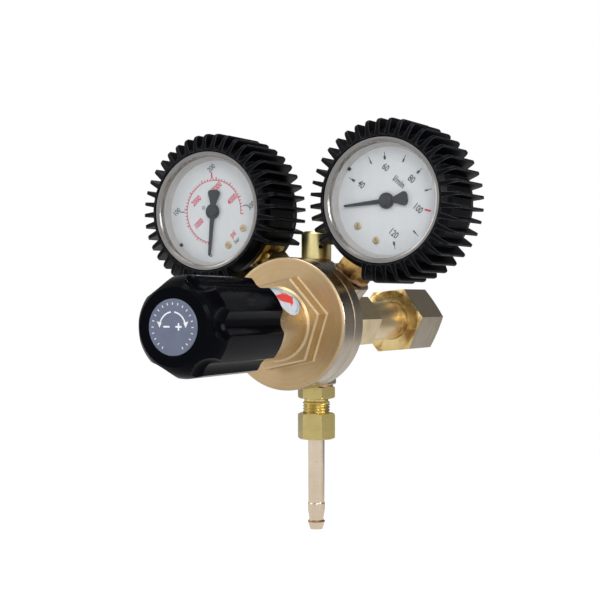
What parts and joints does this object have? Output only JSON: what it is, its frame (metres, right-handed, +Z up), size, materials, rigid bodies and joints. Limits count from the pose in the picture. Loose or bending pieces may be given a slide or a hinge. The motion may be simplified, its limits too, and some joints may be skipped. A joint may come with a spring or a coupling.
{
  "type": "nitrogen flowmeter regulator",
  "caption": "Cylinder regulator with a fluted adjusting knob, two finned-boot dial gauges on a round brass body, a rear inlet nut, a top relief valve and a hose barb pointing down.",
  "frame": {"origin": "centre of the inlet nut's open end", "axes": "+Y along the main axis, out of the inlet nut; the knob looks along -Y; +Z up, away from the hose barb; +X towards the flow gauge"},
  "size_m": [0.1672, 0.244, 0.1929],
  "materials": {
    "satin_brass": "satin, fine turned lines",
    "bright_brass": "polished",
    "olive_brass": "machined",
    "pale_brass": "satin",
    "bronze": "matte",
    "copper": "annealed, matte",
    "steel": "satin",
    "knob_plastic": "gloss black",
    "label": "printed, satin",
    "boot_rubber": "moulded, slight sheen",
    "seal_rubber": "matte",
    "dial_paint": "matte off-white",
    "spacer_plastic": "matte",
    "pointer_paint": "matte dark slate",
    "window": "clear"
  },
  "bodies": {
    "regulator": {"bonnet": "satin_brass", "slip_ring": "steel", "diaphragm": "seal_rubber", "body": "satin_brass", "main_spring": "steel", "nozzle": "bright_brass", "valve_housing": "bright_brass", "valve_spring": "steel", "inlet_nipple": "bright_brass", "nipple_washer": "copper", "filter": "bronze", "inlet_seal": "seal_rubber", "outlet_washer": "copper", "outlet_adapter": "olive_brass", "orifice": "bright_brass", "hose_barb": "pale_brass", "relief_washer": "copper", "relief_body": "bright_brass", "relief_spring": "steel", "relief_screw": "bright_brass", "pressure_case": "steel", "pressure_bezel": "steel", "pressure_window": "window", "pressure_spacer": "spacer_plastic", "pressure_dial": "dial_paint", "pressure_movement": "bright_brass", "pressure_tube": "bronze", "pressure_socket": "olive_brass", "pressure_washer": "copper", "pressure_boot": "boot_rubber", "flow_case": "steel", "flow_bezel": "steel", "flow_window": "window", "flow_spacer": "spacer_plastic", "flow_dial": "dial_paint", "flow_movement": "bright_brass", "flow_tube": "bronze", "flow_socket": "olive_brass", "flow_washer": "copper", "flow_boot": "boot_rubber"},
    "screw_carriage": {"spring_seat": "steel"},
    "knob_and_screw": {"knob": "knob_plastic", "knob_label": "label", "knob_screw": "steel", "adjusting_screw": "steel"},
    "valve_stack": {"diaphragm_plate": "satin_brass", "valve_pin": "steel", "poppet": "bright_brass"},
    "relief_disc": {"relief_poppet": "steel"},
    "nut_inlet": {"inlet_nut": "bright_brass"},
    "nut_outlet": {"outlet_nut": "olive_brass"},
    "pressure_needle": {"pressure_pointer": "pointer_paint", "pressure_arbor": "bright_brass"},
    "pressure_quadrant": {"pressure_sector": "bright_brass"},
    "pressure_strip": {"pressure_link": "steel"},
    "flow_needle": {"flow_pointer": "pointer_paint", "flow_arbor": "bright_brass"},
    "flow_quadrant": {"flow_sector": "bright_brass"},
    "flow_strip": {"flow_link": "steel"}
  },
  "joints": [
    {"name": "screw_travel", "type": "slide", "parent": "regulator", "child": "screw_carriage", "axis": [0, 1, 0], "range_m": [0, 0.0075], "deforming": ["main_spring"]},
    {"name": "knob_turn", "type": "hinge", "parent": "screw_carriage", "child": "knob_and_screw", "pos_m": [0, -0.2, 0], "axis": [0, 1, 0], "range_deg": [0, 1800]},
    {"name": "valve_lift", "type": "slide", "parent": "regulator", "child": "valve_stack", "axis": [0, 1, 0], "range_m": [0, 0.0008], "stiffness_N_per_m": 4000, "springref_m": -0.0005, "deforming": ["diaphragm", "valve_spring"]},
    {"name": "relief_lift", "type": "slide", "parent": "regulator", "child": "relief_disc", "axis": [0, 0, 1], "range_m": [0, 0.0015], "stiffness_N_per_m": 2000, "springref_m": -0.001, "deforming": ["relief_spring"]},
    {"name": "inlet_nut_turn", "type": "hinge", "parent": "regulator", "child": "nut_inlet", "pos_m": [0, -0.015, 0], "axis": [0, 1, 0], "continuous": true},
    {"name": "outlet_nut_turn", "type": "hinge", "parent": "regulator", "child": "nut_outlet", "pos_m": [0, -0.1176, -0.05], "axis": [0, 0, 1], "continuous": true},
    {"name": "pressure_reading", "type": "hinge", "parent": "regulator", "child": "pressure_needle", "pos_m": [-0.04519, -0.132, 0.05385], "axis": [0, 1, 0], "range_deg": [0, 270], "stiffness_Nm_per_rad": 0.001},
    {"name": "pressure_sector_turn", "type": "hinge", "parent": "regulator", "child": "pressure_quadrant", "pos_m": [-0.03619, -0.132, 0.04313], "axis": [0, 1, 0], "range_deg": [-45, 0]},
    {"name": "pressure_link_turn", "type": "hinge", "parent": "pressure_quadrant", "child": "pressure_strip", "pos_m": [-0.0333, -0.132, 0.03968], "axis": [0, 1, 0], "range_deg": [0, 45]},
    {"name": "flow_reading", "type": "hinge", "parent": "regulator", "child": "flow_needle", "pos_m": [0.04699, -0.132, 0.056], "axis": [0, 1, 0], "range_deg": [0, 270], "stiffness_Nm_per_rad": 0.001},
    {"name": "flow_sector_turn", "type": "hinge", "parent": "regulator", "child": "flow_quadrant", "pos_m": [0.03799, -0.132, 0.04527], "axis": [0, 1, 0], "range_deg": [-45, 0]},
    {"name": "flow_link_turn", "type": "hinge", "parent": "flow_quadrant", "child": "flow_strip", "pos_m": [0.0351, -0.132, 0.04183], "axis": [0, 1, 0], "range_deg": [0, 45]}
  ],
  "couplings": [
    {"joint": "knob_turn", "follows": "screw_travel", "rad_per_m": 4188.8},
    {"joint": "pressure_sector_turn", "follows": "pressure_reading", "ratio": -0.16667},
    {"joint": "pressure_link_turn", "follows": "pressure_reading", "ratio": 0.16667},
    {"joint": "flow_sector_turn", "follows": "flow_reading", "ratio": -0.16667},
    {"joint": "flow_link_turn", "follows": "flow_reading", "ratio": 0.16667}
  ]
}
